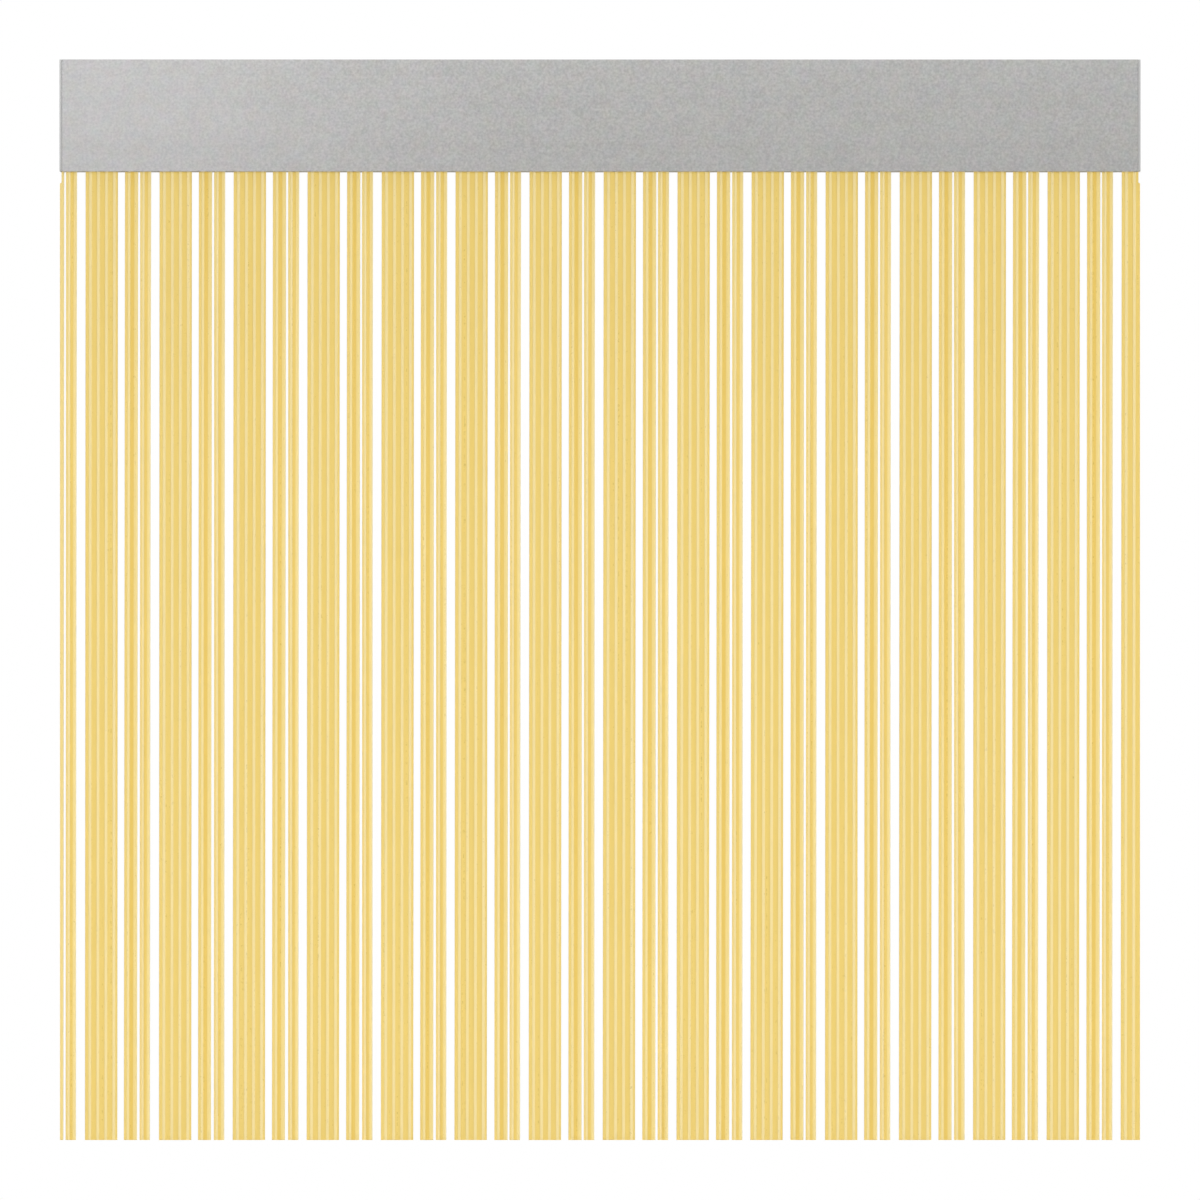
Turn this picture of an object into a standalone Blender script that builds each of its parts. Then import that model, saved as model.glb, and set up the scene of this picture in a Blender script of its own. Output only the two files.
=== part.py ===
"""PVC door curtain: ribbed ribbons that hang on a rod inside an aluminium head rail.

Metres, +Z up. X runs along the rail and the front faces -Y. The origin is the middle of the
rail's back face, which lies against the lintel. Outlines across the rail are written as
(depth, height): depth is measured forwards from the lintel and height from the origin.
"""

from math import acos, asin, cos, pi, radians, sin

import bmesh
import bpy
from mathutils import Matrix, Vector

# Whole curtain
curtain_height = 0.900
rail_height = 0.0933
rail_depth = 0.040

# Clearances
fit_gap = 0.0003
rod_gap = 0.0004
tooth_gap = 0.0004

# Ribbon pattern, from left to right: wide, broad, slim, and again
wide_width = 0.0270
broad_width = 0.0111
slim_width = 0.0093
gap_after_wide = 0.0058
gap_in_pair = 0.0018
gap_after_pair = 0.00667
pattern_repeats = 14
left_slit_width = 0.0033
right_slit_width = 0.01555

# Ribbon section
rib_count = 5
left_rib_width = 0.00275
right_rib_width = 0.00175
web_width = 0.0025
rib_slope = 0.0008
rib_thickness = 0.0021
web_thickness = 0.0009
shoulder_thickness = 0.0014
narrow_edge_shares = (0.16, 0.25)
narrow_web_shares = (0.38, 0.46)
narrow_rib_shares = (0.66, 0.74)
narrow_shoulder_shares = (0.86, 0.92)

# Ribbon eye
eye_wall = 0.0015
eye_inset = 0.0001
eye_sides = 12
swing_degrees = 60

# Rod
rod_radius = 0.0030
rod_above_edge = 0.0065
rod_sides = 24

# Rail section
back_wall = 0.0025
shelf_wall = 0.0020
hook_wall = 0.0015
hook_reach = 0.0140
hook_drop = 0.0038

# Screw ports of the rail
port_bore = 0.00125
port_wall = 0.0013
port_bite = 0.00025
port_slit = 0.0010
port_arc_steps = 3
port_bore_steps = 9

# Bracket track and brackets
track_wall = 0.0015
track_lip = 0.0025
track_height = 0.0045
track_room = 0.0068
bracket_head_width = 0.0139
bracket_wall = 0.0022
bracket_first = 1
bracket_every = 4
bracket_arc_steps = 12

# Comb track and comb
comb_track_wall = 0.0012
comb_track_lip = 0.0018
comb_wall = 0.0024
comb_height = 0.0090
tooth_prong_wall = 0.0021
tooth_prong_drop = 0.0010

# Fascia
fascia_wall = 0.0020
clip_wall = 0.0015
clip_reach = 0.0050

# Wall holes
wall_hole_radius = 0.00275
wall_hole_count = 4
wall_hole_sides = 16

# End caps
cap_wall = 0.0020
cap_relief_wall = 0.0010
cap_corner = 0.0015
plug_length = 0.0100
plug_wall = 0.0015

# Cap screws
screw_head_radius = 0.0025
screw_head_height = 0.0014
screw_shank_radius = 0.0011
screw_length = 0.0110
screw_hole_gap = 0.0003
screw_recess_width = 0.0006
screw_recess_length = 0.0026
screw_recess_depth = 0.0007
screw_sides = 16

# How far a cutting shape runs past what it cuts
overrun = 0.0020

# Worked out from the sizes above
pattern_pitch = (
    wide_width + gap_after_wide + broad_width + gap_in_pair + slim_width + gap_after_pair
)
left_margin = left_slit_width + gap_in_pair + slim_width + gap_after_pair
curtain_width = left_margin + pattern_repeats * pattern_pitch + right_slit_width
half_width = curtain_width / 2
rail_top = rail_height / 2
rail_bottom = -rail_height / 2
fascia_inner = rail_depth - fascia_wall
rail_half_length = half_width - cap_wall - fit_gap
inside_half_length = half_width - cap_relief_wall - fit_gap

rod_depth = (back_wall + fascia_inner) / 2
rod_height = rail_bottom + rod_above_edge
bore_radius = rod_radius + rod_gap
eye_bore = (rod_radius + rod_gap) / cos(pi / eye_sides)
eye_radius = eye_bore + eye_wall
ribbon_drop = curtain_height - rail_height + rod_above_edge

hook_bottom = rail_top - fascia_wall - hook_drop
shelf_top = hook_bottom - fit_gap
shelf_bottom = shelf_top - shelf_wall
hook_back = rail_depth - hook_reach
upstand_back = hook_back + hook_wall + fit_gap
upstand_front = upstand_back + hook_wall
mid_front = fascia_inner - fit_gap

comb_leg_top = rod_height + comb_track_wall
comb_bottom = comb_leg_top + fit_gap
comb_top = comb_bottom + comb_height
comb_leg_bottom = comb_top + fit_gap
comb_inner = back_wall + comb_wall + 2 * fit_gap
comb_front = comb_inner + comb_track_wall
track_half = bracket_head_width / 2 + fit_gap
track_bottom = comb_leg_bottom + comb_track_wall + track_room
mid_bottom = track_bottom + track_wall + track_height
mid_top = mid_bottom + shelf_wall
port_inset = port_bore + port_wall - port_bite


# Building blocks


def clear_scene():
    """Removes every object of the scene."""
    for old in list(bpy.data.objects):
        bpy.data.objects.remove(old, do_unlink=True)


def make_material(name, colour, roughness, metallic):
    """A plain Principled material."""
    material = bpy.data.materials.new(name)
    material.use_nodes = True
    shader = material.node_tree.nodes["Principled BSDF"]
    shader.inputs["Base Color"].default_value = (*colour, 1)
    shader.inputs["Roughness"].default_value = roughness
    shader.inputs["Metallic"].default_value = metallic
    return material


def satin_aluminium():
    return make_material("satin_aluminium", (0.47, 0.47, 0.46), 0.45, 1)


def grey_plastic():
    return make_material("grey_plastic", (0.47, 0.47, 0.46), 0.5, 0)


def white_nylon():
    return make_material("white_nylon", (0.78, 0.77, 0.72), 0.4, 0)


def zinc_steel():
    return make_material("zinc_steel", (0.56, 0.57, 0.58), 0.3, 1)


def amber_pvc():
    return make_material("amber_pvc", (0.85, 0.63, 0.18), 0.35, 0)


def add_object(name, mesh, material, location=(0, 0, 0), parent=None):
    """Puts a mesh into the scene under a name, with its own material."""
    piece = bpy.data.objects.new(name, mesh)
    if not mesh.materials:
        mesh.materials.append(material)
    piece.location = location
    piece.parent = parent
    bpy.context.scene.collection.objects.link(piece)
    return piece


def prism(name, outline, start, end):
    """A solid between two copies of a closed outline, given as points at start, moved to end."""
    shape = bmesh.new()
    step = Vector(end) - Vector(start)
    first = [shape.verts.new(Vector(start) + Vector(point)) for point in outline]
    last = [shape.verts.new(vert.co + step) for vert in first]
    shape.faces.new(first)
    shape.faces.new(last)
    for i in range(len(first)):
        j = (i + 1) % len(first)
        shape.faces.new((first[i], first[j], last[j], last[i]))
    bmesh.ops.recalc_face_normals(shape, faces=shape.faces)
    mesh = bpy.data.meshes.new(name)
    shape.to_mesh(mesh)
    shape.free()
    return mesh


def across_rail(outline):
    """Turns (depth, height) points into points of a plane square to the rail."""
    return [(0, -depth, height) for depth, height in outline]


def rail_prism(name, outline, left, right):
    """A solid with the same (depth, height) outline all along the rail from left to right."""
    return prism(name, across_rail(outline), (left, 0, 0), (right, 0, 0))


def turned(name, rings, sides, axis="X"):
    """A turned solid about an axis through the origin: rings are (place, radius) along it."""
    shape = bmesh.new()
    loops = []
    for place, radius in rings:
        turns = [2 * pi * k / sides for k in range(sides)]
        loops.append(
            [shape.verts.new((place, radius * cos(a), radius * sin(a))) for a in turns]
        )
    shape.faces.new(loops[0])
    shape.faces.new(loops[-1])
    for low, high in zip(loops, loops[1:]):
        for i in range(sides):
            j = (i + 1) % sides
            shape.faces.new((low[i], low[j], high[j], high[i]))
    if axis == "Y":
        shape.transform(Matrix.Rotation(pi / 2, 4, "Z"))
    bmesh.ops.recalc_face_normals(shape, faces=shape.faces)
    mesh = bpy.data.meshes.new(name)
    shape.to_mesh(mesh)
    shape.free()
    mesh.shade_smooth()
    mesh.set_sharp_from_angle(angle=radians(40))
    return mesh


def block(name, low, high):
    """A box between two corners."""
    (left, front, bottom), (right, back, top) = low, high
    outline = [(left, front, 0), (right, front, 0), (right, back, 0), (left, back, 0)]
    return prism(name, outline, (0, 0, bottom), (0, 0, top))


def combine(meshes):
    """One mesh of several that don't touch."""
    shape = bmesh.new()
    for mesh in meshes:
        shape.from_mesh(mesh)
    joined = bpy.data.meshes.new(meshes[0].name)
    shape.to_mesh(joined)
    shape.free()
    return joined


def boolean(piece, mesh, operation):
    """Cuts a mesh out of a piece, or adds it, with a live exact Boolean."""
    guide = bpy.data.objects.new(f"{piece.name}_{operation.lower()}_{len(piece.modifiers)}", mesh)
    guide.hide_render = True
    guide.display_type = "WIRE"
    guide.parent = piece
    bpy.context.scene.collection.objects.link(guide)
    cut = piece.modifiers.new(guide.name, "BOOLEAN")
    cut.operation = operation
    cut.solver = "EXACT"
    cut.object = guide


# Ribbons


def wide_stations():
    """The wide ribbon's (place, thickness) across its width: five ribs with webs between."""
    webs, inner_ribs = rib_count - 1, rib_count - 2
    edge_ribs = left_rib_width + right_rib_width
    rib_width = (wide_width - edge_ribs - webs * web_width) / inner_ribs
    stations = [(0, rib_thickness)]
    for i in range(webs):
        middle = left_rib_width + web_width / 2 + i * (rib_width + web_width)
        near, far = web_width / 2 - rib_slope / 2, web_width / 2 + rib_slope / 2
        stations += [
            (middle - far, rib_thickness),
            (middle - near, web_thickness),
            (middle + near, web_thickness),
            (middle + far, rib_thickness),
        ]
    return stations + [(wide_width, rib_thickness)]


def narrow_stations(width):
    """A narrow ribbon's (place, thickness): an edge rib, a web, the main rib and a shoulder."""
    edge, web = narrow_edge_shares, narrow_web_shares
    rib, shoulder = narrow_rib_shares, narrow_shoulder_shares
    places = (0, *edge, *web, *rib, *shoulder, 1)
    sizes = [rib_thickness] * 2 + [web_thickness] * 2 + [rib_thickness] * 2
    sizes += [shoulder_thickness] * 2 + [web_thickness] * 2
    return [(share * width, size) for share, size in zip(places, sizes)]


def cut_stations(stations, low, high):
    """The stations between low and high, counted from low, with a station at each end."""

    def thickness_at(place):
        for (a, size_a), (b, size_b) in zip(stations, stations[1:]):
            if a <= place <= b:
                return size_a + (size_b - size_a) * (place - a) / (b - a)
        return stations[-1][1]

    inside = [(place - low, size) for place, size in stations if low < place < high]
    return [(0, thickness_at(low)), *inside, (high - low, thickness_at(high))]


def ribbon_sequence():
    """Every ribbon from left to right: (kind, stations, gap to the next one)."""
    wide, broad, slim = (
        wide_stations(),
        narrow_stations(broad_width),
        narrow_stations(slim_width),
    )
    sliver = cut_stations(broad, broad_width - left_slit_width, broad_width)
    remnant = cut_stations(wide, 0, right_slit_width)
    row = [("broad_slit", sliver, gap_in_pair), ("slim", slim, gap_after_pair)]
    for _ in range(pattern_repeats):
        row += [
            ("wide", wide, gap_after_wide),
            ("broad", broad, gap_in_pair),
            ("slim", slim, gap_after_pair),
        ]
    return row + [("wide_slit", remnant, 0)]


def ribbon_layout():
    """Places the sequence along the rail: (kind, stations, left, right) for each ribbon."""
    layout = []
    left = -half_width
    for kind, stations, gap in ribbon_sequence():
        right = left + stations[-1][0]
        layout.append((kind, stations, left, right))
        left = right + gap
    return layout


def ribbon_mesh(kind, stations, left, right):
    """A ribbed strip under a plain eye, about the rod's axis, with X from the ribbon's left."""
    front = [(place, -size / 2, 0) for place, size in stations]
    back = [(place, size / 2, 0) for place, size in reversed(stations)]
    strip_top = -(eye_bore + eye_wall / 2)
    strip = prism(kind, front + back, (0, 0, -ribbon_drop), (0, 0, strip_top))
    width = stations[-1][0]
    body = bpy.data.objects.new(f"{kind}_pattern", strip)
    bpy.context.scene.collection.objects.link(body)
    eye = turned("eye", [(eye_inset, eye_radius), (width - eye_inset, eye_radius)], eye_sides)
    boolean(body, eye, "UNION")
    bore_ends = [(-overrun, eye_bore), (width + overrun, eye_bore)]
    boolean(body, turned("eye_bore", bore_ends, eye_sides), "DIFFERENCE")
    for notch in corner_notches(left, right):
        boolean(body, notch, "DIFFERENCE")
    depsgraph = bpy.context.evaluated_depsgraph_get()
    mesh = bpy.data.meshes.new_from_object(body.evaluated_get(depsgraph))
    mesh.name = kind
    for helper in [*body.children, body]:
        bpy.data.objects.remove(helper, do_unlink=True)
    return mesh


def corner_notches(left, right):
    """Cutters for the top corner of a ribbon that would meet an end cap as it swings."""
    tilt = radians(swing_degrees)
    depth = (rod_above_edge + fit_gap + rib_thickness / 2 * sin(tilt)) / cos(tilt)
    reach = eye_radius + overrun
    notches = []
    if left < -inside_half_length:
        edge = -inside_half_length - left
        notches.append(block("notch", (-overrun, -reach, -depth), (edge, reach, reach)))
    if right > inside_half_length:
        edge = inside_half_length - left
        far = right - left + overrun
        notches.append(block("notch", (edge, -reach, -depth), (far, reach, reach)))
    return notches


def add_ribbons(layout, pvc):
    """Hangs every ribbon on the rod's axis; whole ribbons of a kind share one mesh."""
    axis = bpy.data.objects.new("rod_axis", None)
    axis.location = (0, -rod_depth, rod_height)
    bpy.context.scene.collection.objects.link(axis)
    meshes, counts = {}, {"wide": 0, "narrow": 0}
    for kind, stations, left, right in layout:
        if kind not in meshes:
            meshes[kind] = ribbon_mesh(kind, stations, left, right)
        family = "wide" if kind.startswith("wide") else "narrow"
        counts[family] += 1
        name = f"{family}_ribbon_{counts[family]:02d}"
        add_object(name, meshes[kind], pvc, (left, 0, 0), axis)


# Head rail


def port_outline():
    """A C-shaped screw port in a corner, as (from one wall, from the other), both inwards.

    It starts on the first wall, follows the outer circle to the slit, runs round the bore and
    back along the outer circle to the second wall. The slit points away from the corner.
    """
    outer = port_bore + port_wall
    meets_wall = pi - acos(port_inset / outer)
    diagonal = pi / 4
    lip_outer = asin(port_slit / 2 / outer)
    lip_bore = asin(port_slit / 2 / port_bore)

    def arc(radius, start, end, steps):
        angles = [start + (end - start) * i / steps for i in range(steps + 1)]
        return [(port_inset + radius * cos(a), port_inset + radius * sin(a)) for a in angles]

    return (
        arc(outer, meets_wall, diagonal + lip_outer, port_arc_steps)
        + arc(port_bore, diagonal + lip_bore, diagonal - lip_bore + 2 * pi, port_bore_steps)
        + arc(outer, diagonal - lip_outer, pi / 2 - meets_wall, port_arc_steps)
    )


def port_centres():
    """The (depth, height) of the two screw ports, in the back corners of the upper chamber."""
    depth = back_wall + port_inset
    return [(depth, shelf_bottom - port_inset), (depth, mid_top + port_inset)]


def rail_outline():
    """The wall rail's section: back wall, hook shelf, screw ports, mid shelf and two tracks."""
    upper_port = [(back_wall + a, shelf_bottom - b) for a, b in reversed(port_outline())]
    lower_port = [(back_wall + a, mid_top + b) for a, b in port_outline()]
    front_leg, back_leg = rod_depth + track_half, rod_depth - track_half
    lip_top = track_bottom + track_wall
    return [
        (0, rail_bottom),
        (0, rail_top),
        (back_wall, rail_top),
        (back_wall, shelf_top),
        (upstand_back, shelf_top),
        (upstand_back, rail_top - fascia_wall - fit_gap),
        (upstand_front, rail_top - fascia_wall - fit_gap),
        (upstand_front, shelf_bottom),
        *upper_port,
        *lower_port,
        (mid_front, mid_top),
        (mid_front, mid_bottom),
        (front_leg + track_wall, mid_bottom),
        (front_leg + track_wall, track_bottom),
        (front_leg - track_lip, track_bottom),
        (front_leg - track_lip, lip_top),
        (front_leg, lip_top),
        (front_leg, mid_bottom),
        (back_leg, mid_bottom),
        (back_leg, lip_top),
        (back_leg + track_lip, lip_top),
        (back_leg + track_lip, track_bottom),
        (back_leg - track_wall, track_bottom),
        (back_leg - track_wall, mid_bottom),
        (back_wall, mid_bottom),
        (back_wall, comb_leg_bottom + comb_track_wall),
        (comb_front, comb_leg_bottom + comb_track_wall),
        (comb_front, comb_leg_bottom - comb_track_lip),
        (comb_inner, comb_leg_bottom - comb_track_lip),
        (comb_inner, comb_leg_bottom),
        (back_wall, comb_leg_bottom),
        (back_wall, comb_leg_top),
        (comb_inner, comb_leg_top),
        (comb_inner, comb_leg_top + comb_track_lip),
        (comb_front, comb_leg_top + comb_track_lip),
        (comb_front, rod_height),
        (back_wall, rod_height),
        (back_wall, rail_bottom),
    ]


def wall_hole_places():
    """Where the wall screws go, evenly along the rail and halfway up the upper chamber."""
    spacing = curtain_width / wall_hole_count
    height = (shelf_bottom + mid_top) / 2
    middle = (wall_hole_count - 1) / 2
    return [((i - middle) * spacing, height) for i in range(wall_hole_count)]


def add_wall_rail(aluminium):
    """The aluminium extrusion against the lintel, drilled for its wall screws."""
    mesh = rail_prism("wall_rail", rail_outline(), -rail_half_length, rail_half_length)
    rail = add_object("wall_rail", mesh, aluminium)
    drills = []
    for x, z in wall_hole_places():
        ends = [(-back_wall - overrun, wall_hole_radius), (overrun, wall_hole_radius)]
        drill = turned("wall_hole", ends, wall_hole_sides, axis="Y")
        drill.transform(Matrix.Translation((x, 0, z)))
        drills.append(drill)
    boolean(rail, combine(drills), "DIFFERENCE")


def add_fascia(aluminium):
    """The front cover: hooked over the rail's upstand and clipped on its mid shelf."""
    rib_reach = fascia_inner - clip_reach
    upper_rib, lower_rib = mid_top + fit_gap, mid_bottom - fit_gap
    outline = [
        (rail_depth, rail_bottom),
        (rail_depth, rail_top),
        (hook_back, rail_top),
        (hook_back, hook_bottom),
        (hook_back + hook_wall, hook_bottom),
        (hook_back + hook_wall, rail_top - fascia_wall),
        (fascia_inner, rail_top - fascia_wall),
        (fascia_inner, upper_rib + clip_wall),
        (rib_reach, upper_rib + clip_wall),
        (rib_reach, upper_rib),
        (fascia_inner, upper_rib),
        (fascia_inner, lower_rib),
        (rib_reach, lower_rib),
        (rib_reach, lower_rib - clip_wall),
        (fascia_inner, lower_rib - clip_wall),
        (fascia_inner, rail_bottom),
    ]
    mesh = rail_prism("fascia", outline, -rail_half_length, rail_half_length)
    add_object("fascia", mesh, aluminium)


def add_hanging_rod(steel):
    """The round rod through every eye, kept in by the end caps."""
    ends = [(-inside_half_length, rod_radius), (inside_half_length, rod_radius)]
    rod = turned("hanging_rod", ends, rod_sides)
    add_object("hanging_rod", rod, steel, (0, -rod_depth, rod_height))


# Brackets and comb


def bracket_outline():
    """A bracket seen from the side: a head in the track, a neck, and a round seat for the rod."""
    head, neck = bracket_head_width / 2, track_half - track_lip - fit_gap
    head_top, head_bottom = mid_bottom - fit_gap, track_bottom + track_wall + fit_gap
    seat = bore_radius + bracket_wall
    top_angle = acos(neck / seat)
    start, sweep = top_angle, pi + 2 * top_angle
    round_seat = []
    for i in range(bracket_arc_steps + 1):
        angle = start - sweep * i / bracket_arc_steps
        round_seat.append((rod_depth + seat * cos(angle), rod_height + seat * sin(angle)))
    return [
        (rod_depth - neck, head_bottom),
        (rod_depth - head, head_bottom),
        (rod_depth - head, head_top),
        (rod_depth + head, head_top),
        (rod_depth + head, head_bottom),
        (rod_depth + neck, head_bottom),
        *round_seat,
    ]


def bracket_gaps(layout):
    """The gaps that hold a bracket: every fourth one of those after a narrow pair."""
    after_pairs = [
        i for i in range(len(layout) - 1)
        if layout[i][0] == "slim" and layout[i + 1][0].startswith("wide")
    ]
    return after_pairs[bracket_first::bracket_every]


def add_brackets(layout, nylon):
    """The moulded hangers that carry the rod; they fill their gap, so they space it too."""
    bracket_half = (gap_after_pair - 2 * tooth_gap) / 2
    mesh = rail_prism("rod_bracket", bracket_outline(), -bracket_half, bracket_half)
    bore_ends = [(-bracket_half - overrun, bore_radius), (bracket_half + overrun, bore_radius)]
    for number, i in enumerate(bracket_gaps(layout), 1):
        middle = (layout[i][3] + layout[i + 1][2]) / 2
        bracket = add_object(f"rod_bracket_{number}", mesh, nylon, (middle, 0, 0))
        bore = turned("bracket_bore", bore_ends, rod_sides)
        bore.transform(Matrix.Translation((0, -rod_depth, rod_height)))
        boolean(bracket, bore, "DIFFERENCE")


def tooth_outline():
    """A tooth seen from the side: an arm from the spine and two prongs astride the rod."""
    root = back_wall + fit_gap + comb_wall / 2
    under, top = rod_height + bore_radius, comb_top - comb_track_lip
    outer, foot = bore_radius + tooth_prong_wall, rod_height - tooth_prong_drop
    return [
        (root, under),
        (rod_depth - outer, under),
        (rod_depth - outer, foot),
        (rod_depth - bore_radius, foot),
        (rod_depth - bore_radius, under),
        (rod_depth + bore_radius, under),
        (rod_depth + bore_radius, foot),
        (rod_depth + outer, foot),
        (rod_depth + outer, top),
        (root, top),
    ]


def add_comb(layout, nylon):
    """The rack in the back track: one tooth in every gap that holds no bracket."""
    back, front = back_wall + fit_gap, back_wall + fit_gap + comb_wall
    spine = [(back, comb_bottom), (front, comb_bottom), (front, comb_top), (back, comb_top)]
    mesh = rail_prism("spacer_comb", spine, -rail_half_length, rail_half_length)
    comb = add_object("spacer_comb", mesh, nylon)
    teeth = []
    for i in range(len(layout) - 1):
        if i in bracket_gaps(layout):
            continue
        left, right = layout[i][3] + tooth_gap, layout[i + 1][2] - tooth_gap
        teeth.append(rail_prism("teeth", tooth_outline(), left, right))
    boolean(comb, combine(teeth), "UNION")


# End caps


def cap_outline():
    """The rail's silhouette, with its two front corners cut at 45 degrees."""
    return [
        (0, rail_bottom),
        (0, rail_top),
        (rail_depth - cap_corner, rail_top),
        (rail_depth, rail_top - cap_corner),
        (rail_depth, rail_bottom + cap_corner),
        (rail_depth - cap_corner, rail_bottom),
    ]


def add_end_cap(name, side, plastic):
    """A moulded cap: a plate, a hollow plug in the upper chamber and a thinner lower part."""
    outer, inner = side * half_width, side * (half_width - cap_wall)
    cap = add_object(name, rail_prism(name, cap_outline(), inner, outer), plastic)

    plug_back = back_wall + port_inset + port_bore + port_wall + fit_gap
    plug_low, plug_high = mid_top + fit_gap, shelf_bottom - fit_gap
    plug_end = inner - side * plug_length
    plug_root = inner + side * cap_relief_wall
    plug = block(
        "plug",
        (min(plug_root, plug_end), -upstand_back, plug_low),
        (max(plug_root, plug_end), -plug_back, plug_high),
    )
    boolean(cap, plug, "UNION")

    hollow_end = plug_end - side * overrun
    hollow = block(
        "plug_hollow",
        (min(inner, hollow_end), -upstand_back + plug_wall, plug_low + plug_wall),
        (max(inner, hollow_end), -plug_back - plug_wall, plug_high - plug_wall),
    )
    boolean(cap, hollow, "DIFFERENCE")

    relief_face, relief_end = side * (half_width - cap_relief_wall), inner - side * overrun
    relief = block(
        "relief",
        (min(relief_face, relief_end), -fascia_inner, rail_bottom - overrun),
        (max(relief_face, relief_end), -back_wall, mid_bottom),
    )
    boolean(cap, relief, "DIFFERENCE")

    holes = []
    for depth, height in port_centres():
        hole = turned("screw_hole", countersink_rings(), screw_sides)
        hole.transform(screw_place(side, depth, height))
        holes.append(hole)
    boolean(cap, combine(holes), "DIFFERENCE")


def countersink_rings():
    """The screw's own outline grown by its clearance, run out past both faces of the cap."""
    head, shank = screw_head_radius + screw_hole_gap, screw_shank_radius + screw_hole_gap
    return [
        (overrun, head),
        (0, head),
        (-screw_head_height, shank),
        (-cap_wall - overrun, shank),
    ]


def screw_place(side, depth, height):
    """Turns a screw that points to -X so that it goes into the rail's end from outside."""
    turn = Matrix.Rotation(0 if side > 0 else pi, 4, "Z")
    return Matrix.Translation((side * half_width, -depth, height)) @ turn


def add_cap_screw(name, side, depth, height, steel):
    """A countersunk screw with a cross recess, its head flush with the cap."""
    rings = [
        (0, screw_head_radius),
        (-screw_head_height, screw_shank_radius),
        (-screw_length, screw_shank_radius),
    ]
    screw = add_object(name, turned(name, rings, screw_sides), steel)
    screw.matrix_world = screw_place(side, depth, height)
    long, thick = screw_recess_length / 2, screw_recess_width / 2
    cross = [
        (0, thick, thick),
        (0, thick, long),
        (0, -thick, long),
        (0, -thick, thick),
        (0, -long, thick),
        (0, -long, -thick),
        (0, -thick, -thick),
        (0, -thick, -long),
        (0, thick, -long),
        (0, thick, -thick),
        (0, long, -thick),
        (0, long, thick),
    ]
    recess = prism("recess", cross, (-screw_recess_depth, 0, 0), (overrun, 0, 0))
    boolean(screw, recess, "DIFFERENCE")


def build():
    """Makes the whole curtain."""
    clear_scene()
    aluminium, plastic, nylon = satin_aluminium(), grey_plastic(), white_nylon()
    steel, pvc = zinc_steel(), amber_pvc()
    layout = ribbon_layout()
    add_wall_rail(aluminium)
    add_fascia(aluminium)
    add_hanging_rod(steel)
    add_brackets(layout, nylon)
    add_comb(layout, nylon)
    for word, side in (("left", -1), ("right", 1)):
        add_end_cap(f"end_cap_{word}", side, plastic)
        for level, (depth, height) in zip(("upper", "lower"), port_centres()):
            add_cap_screw(f"cap_screw_{word}_{level}", side, depth, height, steel)
    add_ribbons(layout, pvc)


build()
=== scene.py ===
"""PVC door curtain: the looks of its ribbons and its head rail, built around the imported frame.

Metres, +Z up. X runs along the rail and the front faces -Y. The origin is the middle of the
rail's back face. Outlines across the rail are written as (depth, height): depth is measured
forwards from the lintel and height from the origin. Places across a ribbon are measured from
its left edge, and a drop is measured down from the rod's axis.
"""

import bpy
import numpy as np
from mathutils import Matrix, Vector


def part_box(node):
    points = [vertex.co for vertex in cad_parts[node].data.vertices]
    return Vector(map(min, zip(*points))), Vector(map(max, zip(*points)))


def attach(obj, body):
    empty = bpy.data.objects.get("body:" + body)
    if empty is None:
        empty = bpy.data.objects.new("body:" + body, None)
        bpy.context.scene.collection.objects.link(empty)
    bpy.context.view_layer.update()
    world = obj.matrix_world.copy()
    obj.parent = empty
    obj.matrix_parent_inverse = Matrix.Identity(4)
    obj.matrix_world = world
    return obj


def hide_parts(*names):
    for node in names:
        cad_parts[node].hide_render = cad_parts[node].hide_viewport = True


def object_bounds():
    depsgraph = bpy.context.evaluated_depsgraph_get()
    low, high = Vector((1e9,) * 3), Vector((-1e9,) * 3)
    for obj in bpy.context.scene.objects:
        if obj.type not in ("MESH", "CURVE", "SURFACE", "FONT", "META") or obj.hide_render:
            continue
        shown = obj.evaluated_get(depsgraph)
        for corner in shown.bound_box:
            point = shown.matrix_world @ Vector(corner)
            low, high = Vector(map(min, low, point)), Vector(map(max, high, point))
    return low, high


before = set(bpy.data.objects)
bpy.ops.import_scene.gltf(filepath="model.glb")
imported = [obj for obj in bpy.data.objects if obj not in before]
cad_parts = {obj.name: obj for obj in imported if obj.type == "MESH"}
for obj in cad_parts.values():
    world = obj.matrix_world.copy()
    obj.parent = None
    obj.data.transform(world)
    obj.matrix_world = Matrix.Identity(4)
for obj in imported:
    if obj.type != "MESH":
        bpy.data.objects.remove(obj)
cad_low, cad_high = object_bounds()

# Where the frame puts the main pieces
rail_low, rail_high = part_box("wall_rail")
rod_low, rod_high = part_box("hanging_rod")
half_width = cad_high.x
rail_top, rail_bottom = rail_high.z, rail_low.z
rail_depth = -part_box("fascia")[0].y
rod_depth = -(rod_low.y + rod_high.y) / 2
rod_height = (rod_low.z + rod_high.z) / 2
rod_radius = (rod_high.z - rod_low.z) / 2
inside_half_length = rod_high.x
ribbon_end = cad_low.z

# Clearances
fit_gap = 0.0003
cap_seam = 0.0001
tooth_gap = 0.0004
rod_gap = 0.0004

# Ribbon section
wide_width = 0.0270
broad_width = 0.0111
slim_width = 0.0093
rib_thickness = 0.0021
web_thickness = 0.0009
shoulder_thickness = 0.0014
left_rib_width = 0.00275
right_rib_width = 0.00175
web_width = 0.0025
rib_slope = 0.0008
rib_count = 5
narrow_edge_shares = (0.16, 0.25)
narrow_web_shares = (0.38, 0.46)
narrow_rib_shares = (0.66, 0.74)
narrow_shoulder_shares = (0.86, 0.92)
edge_round = 0.0006
edge_round_share = 0.85
cut_round = 0.00012
eye_wall = 0.00147
least_eye_wall = 0.0003
eye_fillet = 0.0006
neck_drop = 0.0090

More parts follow.
